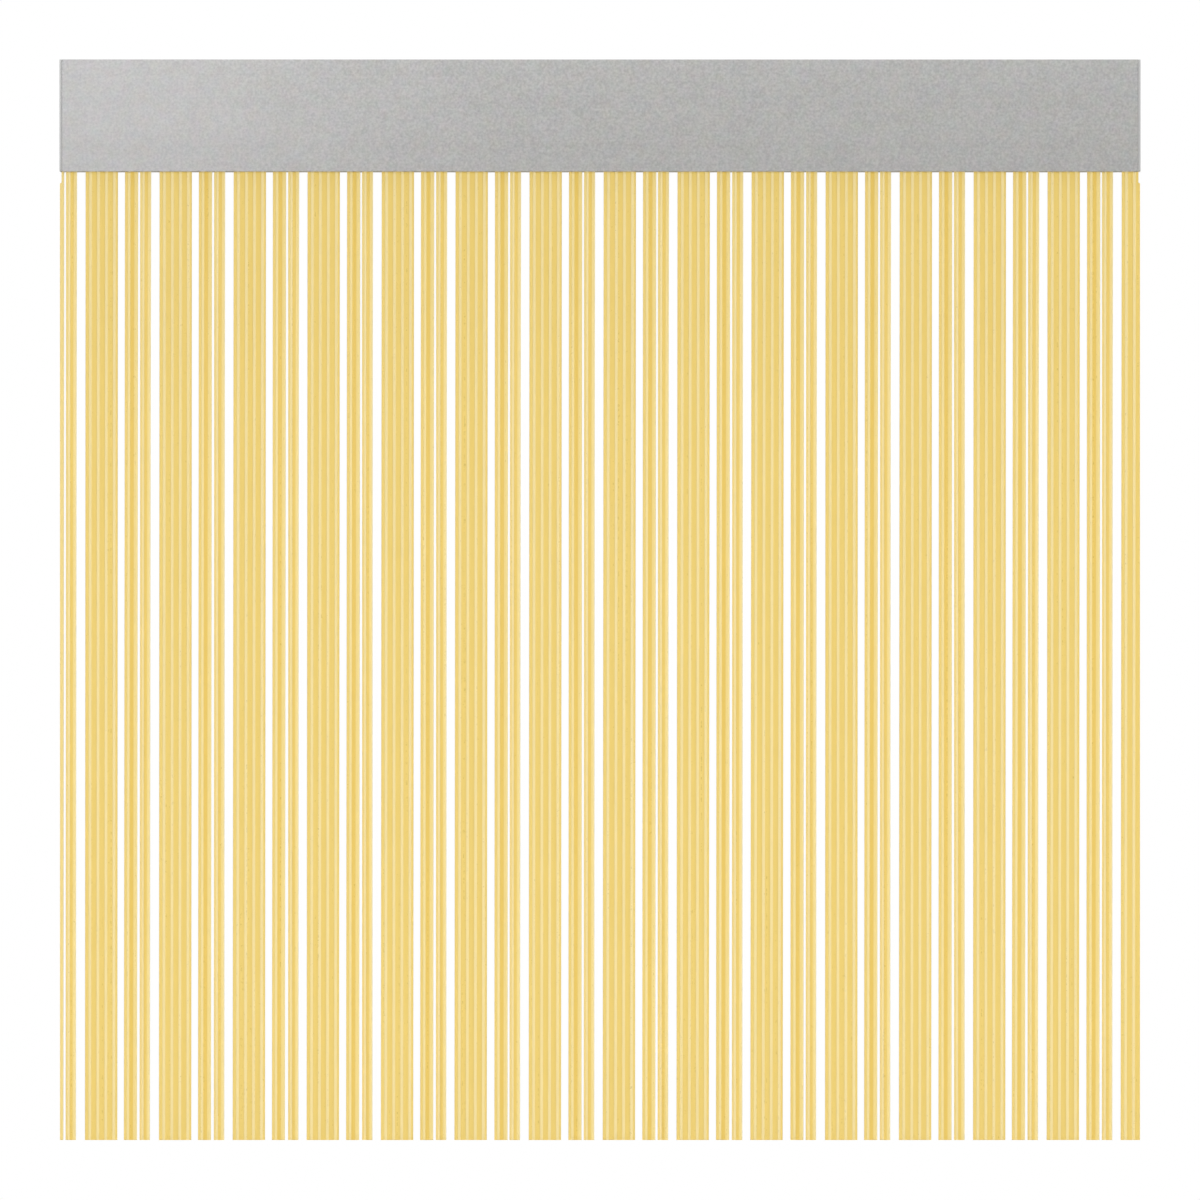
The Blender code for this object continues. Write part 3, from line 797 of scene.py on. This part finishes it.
def hang_ribbons(pvc):
    """Hangs every ribbon: whole ones, and the two that are slit at the curtain's sides."""
    wide = wide_section()
    broad = narrow_section(broad_width, broad_depths)
    slim = narrow_section(slim_width, slim_depths)
    for number in range(1, wide_count):
        hang_ribbon(number, "wide", wide, pvc, lean_at_rod, 0)
    hang_ribbon(wide_count, "wide", wide, pvc, lean_at_rod, 0, slit="right")
    hang_ribbon(1, "narrow", broad, pvc, lean_at_rod, 0, slit="left")
    for number in range(2, narrow_count + 1, 2):
        hang_ribbon(number, "narrow", slim, pvc, slim_lean_at_rod, slim_turn_degrees)
    for number in range(3, narrow_count + 1, 2):
        hang_ribbon(number, "narrow", broad, pvc, lean_at_rod, broad_turn_degrees)


# Head rail


def port_outline():
    """A C-shaped screw port in a corner, as (from one wall, from the other), both inwards."""
    outer = port_bore + port_wall
    meets_wall = np.pi - np.arccos(port_inset / outer)
    diagonal = np.pi / 4
    lip_outer = np.arcsin(port_slit / 2 / outer)
    lip_bore = np.arcsin(port_slit / 2 / port_bore)

    def arc(radius, start, end, steps):
        angle = np.linspace(start, end, steps + 1)
        return np.stack([port_inset + radius * np.cos(angle),
                         port_inset + radius * np.sin(angle)], -1)

    return np.concatenate([
        arc(outer, meets_wall, diagonal + lip_outer, port_arc_steps),
        arc(port_bore, diagonal + lip_bore, diagonal - lip_bore + 2 * np.pi, port_bore_steps),
        arc(outer, diagonal - lip_outer, np.pi / 2 - meets_wall, port_arc_steps)])


def rail_outline():
    """The wall rail's section: back wall, hook shelf, screw ports, mid shelf and two tracks."""
    port = port_outline()
    upper_port = np.stack([back_wall + port[::-1, 0], shelf_bottom - port[::-1, 1]], -1)
    lower_port = np.stack([back_wall + port[:, 0], mid_top + port[:, 1]], -1)
    front_leg, back_leg = rod_depth + track_half, rod_depth - track_half
    lip_top = track_bottom + track_wall
    upstand_top = rail_top - fascia_wall - fit_gap
    top = [(0, rail_bottom), (0, rail_top), (back_wall, rail_top), (back_wall, shelf_top),
           (upstand_back, shelf_top), (upstand_back, upstand_top),
           (upstand_front, upstand_top), (upstand_front, shelf_bottom)]
    tracks = [
        (mid_front, mid_top), (mid_front, mid_bottom),
        (front_leg + track_wall, mid_bottom), (front_leg + track_wall, track_bottom),
        (front_leg - track_lip, track_bottom), (front_leg - track_lip, lip_top),
        (front_leg, lip_top), (front_leg, mid_bottom),
        (back_leg, mid_bottom), (back_leg, lip_top),
        (back_leg + track_lip, lip_top), (back_leg + track_lip, track_bottom),
        (back_leg - track_wall, track_bottom), (back_leg - track_wall, mid_bottom),
        (back_wall, mid_bottom), (back_wall, comb_leg_bottom + comb_track_wall),
        (comb_front, comb_leg_bottom + comb_track_wall),
        (comb_front, comb_leg_bottom - comb_track_lip),
        (comb_inner, comb_leg_bottom - comb_track_lip), (comb_inner, comb_leg_bottom),
        (back_wall, comb_leg_bottom), (back_wall, comb_leg_top), (comb_inner, comb_leg_top),
        (comb_inner, comb_leg_top + comb_track_lip), (comb_front, comb_leg_top + comb_track_lip),
        (comb_front, rod_height), (back_wall, rod_height), (back_wall, rail_bottom)]
    return np.concatenate([top, upper_port, lower_port, tracks])


def add_wall_rail(aluminium):
    """The extrusion against the lintel, with softened edges and countersunk wall holes."""
    outline = rounded(rail_outline(), extrusion_edge, steps=3)
    shape = long_prism(outline, -rail_half_length, rail_half_length, extrusion_end_edge, steps=1)
    rail = add_piece("rail_extrusion", *shape, aluminium, "aluminium")
    height = (shelf_bottom + mid_top) / 2
    spacing = 2 * half_width / wall_hole_count
    profile = chamfered_bore(-back_wall, 0, wall_hole_radius, wall_hole_chamfer)
    for i in range(wall_hole_count):
        points, faces = turned(profile, hole_sides)
        points = points[:, [1, 0, 2]]
        points += np.array([(i - (wall_hole_count - 1) / 2) * spacing, 0, height])
        combine(rail, (points, faces))
    place_piece(rail, "rail", "wall_rail")


def add_fascia(aluminium):
    """The front cover: a plain face, a hook at the top and two clip ribs behind."""
    rib_reach = fascia_inner - clip_reach
    upper_rib, lower_rib = mid_top + fit_gap, mid_bottom - fit_gap
    outline = [
        (rail_depth, rail_bottom), (rail_depth, rail_top),
        (hook_back, rail_top), (hook_back, hook_bottom),
        (hook_back + hook_wall, hook_bottom), (hook_back + hook_wall, rail_top - fascia_wall),
        (fascia_inner, rail_top - fascia_wall), (fascia_inner, upper_rib + clip_wall),
        (rib_reach, upper_rib + clip_wall), (rib_reach, upper_rib),
        (fascia_inner, upper_rib), (fascia_inner, lower_rib),
        (rib_reach, lower_rib), (rib_reach, lower_rib - clip_wall),
        (fascia_inner, lower_rib - clip_wall), (fascia_inner, rail_bottom)]
    reach = np.full(len(outline), extrusion_edge)
    reach[:2] = face_edge
    shape = long_prism(rounded(outline, reach, steps=5), -rail_half_length, rail_half_length,
                       face_end_edge, steps=2)
    fascia = add_piece("fascia_cover", *shape, aluminium, "aluminium")
    place_piece(fascia, "rail", "fascia")


def add_rod(steel):
    """The hanging rod, turned from a profile with a small chamfer at each end."""
    end, shoulder = inside_half_length, inside_half_length - rod_chamfer
    thin = rod_radius - rod_chamfer
    profile = [(-end, thin), (-shoulder, rod_radius), (shoulder, rod_radius), (end, thin)]
    shape = turned(profile, rod_sides, (0, -rod_depth, rod_height))
    rod = add_piece("rod_bar", *shape, steel, "steel")
    place_piece(rod, "rail", "hanging_rod")


def bracket_outline():
    """A bracket seen from the side: a head in the track, a neck, and a round seat for the rod."""
    head, neck = bracket_head_width / 2, track_half - track_lip - fit_gap
    head_top, head_bottom = mid_bottom - fit_gap, track_bottom + track_wall + fit_gap
    seat = bore_radius + bracket_wall
    start = np.arccos(neck / seat)
    angle = np.linspace(start, start - (np.pi + 2 * start), bracket_arc_points)
    round_seat = np.stack([rod_depth + seat * np.cos(angle), rod_height + seat * np.sin(angle)], -1)
    top = [(rod_depth - neck, head_bottom), (rod_depth - head, head_bottom),
           (rod_depth - head, head_top), (rod_depth + head, head_top),
           (rod_depth + head, head_bottom), (rod_depth + neck, head_bottom)]
    return np.concatenate([top, round_seat])


def add_brackets(nylon):
    """The moulded hangers, with rounded edges and a chamfered seat for the rod."""
    outline = rounded(bracket_outline(), moulded_corner, steps=3)
    for number in range(1, bracket_count + 1):
        node = f"rod_bracket_{number}"
        low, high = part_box(node)
        shape = long_prism(outline, low.x, high.x, moulded_edge)
        bracket = add_piece(f"hanger_{number}", *shape, nylon, "nylon")
        half = (high.x - low.x) / 2
        profile = chamfered_bore(-half, half, bore_radius, moulded_edge)
        combine(bracket, turned(profile, rod_sides, ((low.x + high.x) / 2, -rod_depth, rod_height)))
        place_piece(bracket, "rail", node)


def tooth_outline():
    """A tooth seen from the side: an arm from the spine and two prongs astride the rod."""
    root = back_wall + fit_gap + comb_wall / 2
    under, top = rod_height + bore_radius, comb_top - comb_track_lip
    outer, foot = bore_radius + tooth_prong_wall, rod_height - tooth_prong_drop
    return [(root, under), (rod_depth - outer, under), (rod_depth - outer, foot),
            (rod_depth - bore_radius, foot), (rod_depth - bore_radius, under),
            (rod_depth + bore_radius, under), (rod_depth + bore_radius, foot),
            (rod_depth + outer, foot), (rod_depth + outer, top), (root, top)]


def ribbon_gaps():
    """The (left, right) sides of each gap between neighbouring ribbons that holds no bracket."""
    nodes = [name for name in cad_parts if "ribbon" in name]
    boxes = sorted((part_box(name)[0].x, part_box(name)[1].x) for name in nodes)
    brackets = [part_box(f"rod_bracket_{n}")[0].x for n in range(1, bracket_count + 1)]
    gaps = [(a[1], b[0]) for a, b in zip(boxes, boxes[1:])]
    return [gap for gap in gaps if not any(gap[0] < x < gap[1] for x in brackets)]


def add_comb(nylon):
    """The rack in the back track: a spine with one rounded tooth in every free gap."""
    back, front = back_wall + fit_gap, back_wall + fit_gap + comb_wall
    spine = [(back, comb_bottom), (front, comb_bottom), (front, comb_top), (back, comb_top)]
    shape = long_prism(rounded(spine, spine_corner), -rail_half_length, rail_half_length,
                       moulded_edge)
    comb = add_piece("spacer_rack", *shape, nylon, "nylon")
    outline = rounded(tooth_outline(), moulded_corner, steps=3)
    all_points, all_faces, start = [], [], 0
    for left, right in ribbon_gaps():
        points, faces = long_prism(outline, left + tooth_gap, right - tooth_gap, tooth_edge,
                                   steps=2)
        all_points.append(points)
        all_faces.append([face_set + start for face_set in faces])
        start += len(points)
    face_sets = [np.concatenate(faces) for faces in zip(*all_faces)]
    combine(comb, (np.concatenate(all_points), face_sets), "UNION")
    place_piece(comb, "rail", "spacer_comb")


# End caps


def port_centres():
    """The (depth, height) of the two screw ports."""
    depth = back_wall + port_inset
    return [(depth, shelf_bottom - port_inset), (depth, mid_top + port_inset)]


def box_prism(x_a, x_b, depth_low, depth_high, low, high, edge):
    """A box with rounded edges between two places along X."""
    outline = [(depth_low, low), (depth_high, low), (depth_high, high), (depth_low, high)]
    return long_prism(rounded(outline, box_corner_per_edge * edge), min(x_a, x_b),
                      max(x_a, x_b), edge)


def add_end_cap(word, side, plastic):
    """A moulded cap: a rounded plate, a hollow plug and a thinner part over the ribbons."""
    outer, inner = side * half_width, side * (half_width - cap_wall)
    outline = [(0, rail_bottom), (0, rail_top), (rail_depth, rail_top), (rail_depth, rail_bottom)]
    reach = np.array([cap_back_corner, cap_back_corner, cap_corner, cap_corner])
    plate = long_prism(rounded(outline, reach, steps=8), min(inner, outer), max(inner, outer),
                       cap_edge)
    cap = add_piece(f"cap_{word}", *plate, plastic, "grey_plastic")

    plug_back = back_wall + port_inset + port_bore + port_wall + fit_gap
    plug_low, plug_high = mid_top + fit_gap, shelf_bottom - fit_gap
    plug_end = inner - side * plug_length
    plug_root = inner + side * cap_relief_wall
    combine(cap, box_prism(plug_root, plug_end, plug_back, upstand_back, plug_low, plug_high,
                           cap_edge), "UNION")
    combine(cap, box_prism(inner, plug_end - side * overrun, plug_back + plug_wall,
                           upstand_back - plug_wall, plug_low + plug_wall, plug_high - plug_wall,
                           cap_hollow_edge))
    combine(cap, box_prism(side * (half_width - cap_relief_wall), inner - side * overrun,
                           back_wall, fascia_inner, rail_bottom - overrun, mid_bottom,
                           cap_relief_edge))

    head, shank = screw_head_radius + screw_hole_gap, screw_shank_radius + screw_hole_gap
    profile = [(overrun, head), (0, head), (-screw_head_height, shank),
               (-cap_wall - overrun, shank)]
    for depth, height in port_centres():
        combine(cap, turned(profile, hole_sides, (outer, -depth, height), side))
    place_piece(cap, "rail", f"end_cap_{word}")


def add_cap_screw(word, level, side, depth, height, steel):
    """A countersunk screw: soft head edge, a cross recess that tapers, and a threaded shank."""
    core = screw_shank_radius - thread_depth
    turns = int((screw_length - screw_head_height - thread_end) / thread_pitch)
    start = -screw_head_height - thread_start
    thread = []
    for i in range(turns):
        place = start - i * thread_pitch
        thread += [(place, core), (place - thread_pitch / 2, screw_shank_radius)]
    profile = [(0, screw_head_radius - screw_edge_width),
               (-screw_edge_height, screw_head_radius), (-screw_head_height, screw_shank_radius),
               *thread, (-screw_length + screw_tip_length, core),
               (-screw_length, screw_tip_radius)]
    centre = (side * half_width, -depth, height)
    shape = turned(profile, screw_sides, centre, side)
    screw = add_piece(f"screw_{word}_{level}", *shape, steel, "steel")
    long, thick = recess_length / 2, recess_width / 2
    cross = np.array([(thick, thick), (thick, long), (-thick, long), (-thick, thick),
                      (-long, thick), (-long, -thick), (-thick, -thick), (-thick, -long),
                      (thick, -long), (thick, -thick), (long, -thick), (long, thick)])
    places = np.array([overrun / 2, 0, -recess_depth])
    rings = cross[None] * np.array(recess_shares)[:, None, None]
    x = np.broadcast_to(places[:, None] * side, rings.shape[:2])
    points = np.stack([x, rings[..., 0], rings[..., 1]], -1).reshape(-1, 3) + np.array(centre)
    combine(screw, (points, closed_rings(*rings.shape[:2])))
    place_piece(screw, "rail", f"cap_screw_{word}_{level}")


# Light, floor and camera


def set_world():
    """White for what the camera, gloss and clear plastic see; a softer white for diffuse light."""
    diffuse_light = 0.18
    world = bpy.data.worlds.new("studio")
    bpy.context.scene.world = world
    world.use_nodes = True
    tree = world.node_tree
    path = add_node(tree, "ShaderNodeLightPath")
    seen = calculate(tree, "MAXIMUM", path.outputs["Is Camera Ray"],
                     path.outputs["Is Glossy Ray"])
    seen = calculate(tree, "MAXIMUM", seen, path.outputs["Is Transmission Ray"])
    strength = spread(tree, seen, diffuse_light, 1.0)
    background = tree.nodes["Background"]
    background.inputs["Color"].default_value = (1, 1, 1, 1)
    tree.links.new(strength, background.inputs["Strength"])


def add_light(name, kind, place, aim, energy, **settings):
    """A lamp at a place, aimed at a point."""
    lamp = bpy.data.lights.new(name, kind)
    lamp.energy = energy
    for label, value in settings.items():
        setattr(lamp, label, value)
    light = bpy.data.objects.new(name, lamp)
    light.location = place
    light.rotation_euler = (aim - place).to_track_quat("-Z", "Y").to_euler()
    bpy.context.scene.collection.objects.link(light)
    return light


def set_lights():
    """Broad matt light from the front, the back and overhead, and two softboxes for gloss alone."""
    # Name, where it comes from, strength, width in degrees
    suns = (
        ("front_light", (-1.0, -9.0, -0.4), 1.98, 8),
        ("back_light", (1.5, 9.0, -0.4), 2.0, 8),
        ("left_light", (-9.0, -1.0, 0.6), 0.6, 20),
        ("right_light", (9.0, -1.0, 0.6), 0.6, 20),
        ("top_light", (0.0, -0.5, 9.0), 2.3, 12))
    # Name, place, aim, power, width, height
    boxes = (
        ("side_box", (-1.3, -2.1, 0.05), (-0.35, -0.04, 0.0), 2.7, 0.8, 0.8),
        ("rail_box", (0.0, -0.2, 0.15), (0.0, -0.04, 0.0), 0.22, 1.6, 0.05))
    box_colour = (0.93, 0.915, 1.0)
    middle = (cad_low + cad_high) / 2
    for name, place, strength, degrees in suns:
        light = add_light(name, "SUN", Vector(place), middle, strength, angle=np.radians(degrees))
        light.visible_glossy = light.visible_transmission = False
    for name, place, aim, power, width, height in boxes:
        light = add_light(name, "AREA", Vector(place), Vector(aim), power, shape="RECTANGLE",
                          size=width, size_y=height)
        light.visible_diffuse = light.visible_transmission = light.visible_camera = False
        light.data.color = box_colour


def add_floor():
    """A plain pale floor below the ribbons: white to the camera, and it keeps its shadow."""
    floor_drop, reach, steps = 0.45, 8.0, 64
    pale, white = (0.8, 0.8, 0.8, 1), (1, 1, 1, 1)
    turn = 2 * np.pi * np.arange(steps) / steps
    level = np.full(steps, ribbon_end - floor_drop)
    points = np.stack([reach * np.cos(turn), reach * np.sin(turn), level], -1)
    material, tree, shader = new_material("floor", Roughness=0.8, IOR=1.3)
    seen = add_node(tree, "ShaderNodeLightPath").outputs["Is Camera Ray"]
    tree.links.new(blend_colours(tree, seen, pale, white), shader.inputs["Base Color"])
    add_piece("floor", points, [np.arange(steps)[None, :]], material)


def set_camera():
    """A long lens, square to the curtain, with the photograph's margins round it."""
    frame_pixels, curtain_pixels = 1200, 1080
    picture_width = frame_pixels / curtain_pixels * 2 * half_width
    distance = 20.0
    data = bpy.data.cameras.new("camera")
    data.sensor_width = 36
    data.lens = data.sensor_width * distance / picture_width
    data.clip_start, data.clip_end = 1, 100
    camera = bpy.data.objects.new("camera", data)
    camera.location = (0, -rod_depth - distance, (cad_low.z + cad_high.z) / 2)
    camera.rotation_euler = (np.pi / 2, 0, 0)
    bpy.context.scene.collection.objects.link(camera)
    bpy.context.scene.camera = camera


def build():
    """Dresses the whole curtain."""
    set_camera()
    set_world()
    set_lights()
    add_floor()
    grain, lines = grain_group(), drawn_lines_group()
    aluminium, plastic = satin_aluminium(grain, lines), matched_grey(grain)
    nylon, steel, pvc = natural_nylon(grain), zinc_steel(grain, lines), amber_pvc(grain, lines)
    add_wall_rail(aluminium)
    add_fascia(aluminium)
    add_rod(steel)
    add_brackets(nylon)
    add_comb(nylon)
    for word, side in (("left", -1), ("right", 1)):
        add_end_cap(word, side, plastic)
        for level, (depth, height) in zip(("upper", "lower"), port_centres()):
            add_cap_screw(word, level, side, depth, height, steel)
    hang_ribbons(pvc)
    bpy.context.scene.view_settings.view_transform = "Standard"


build()
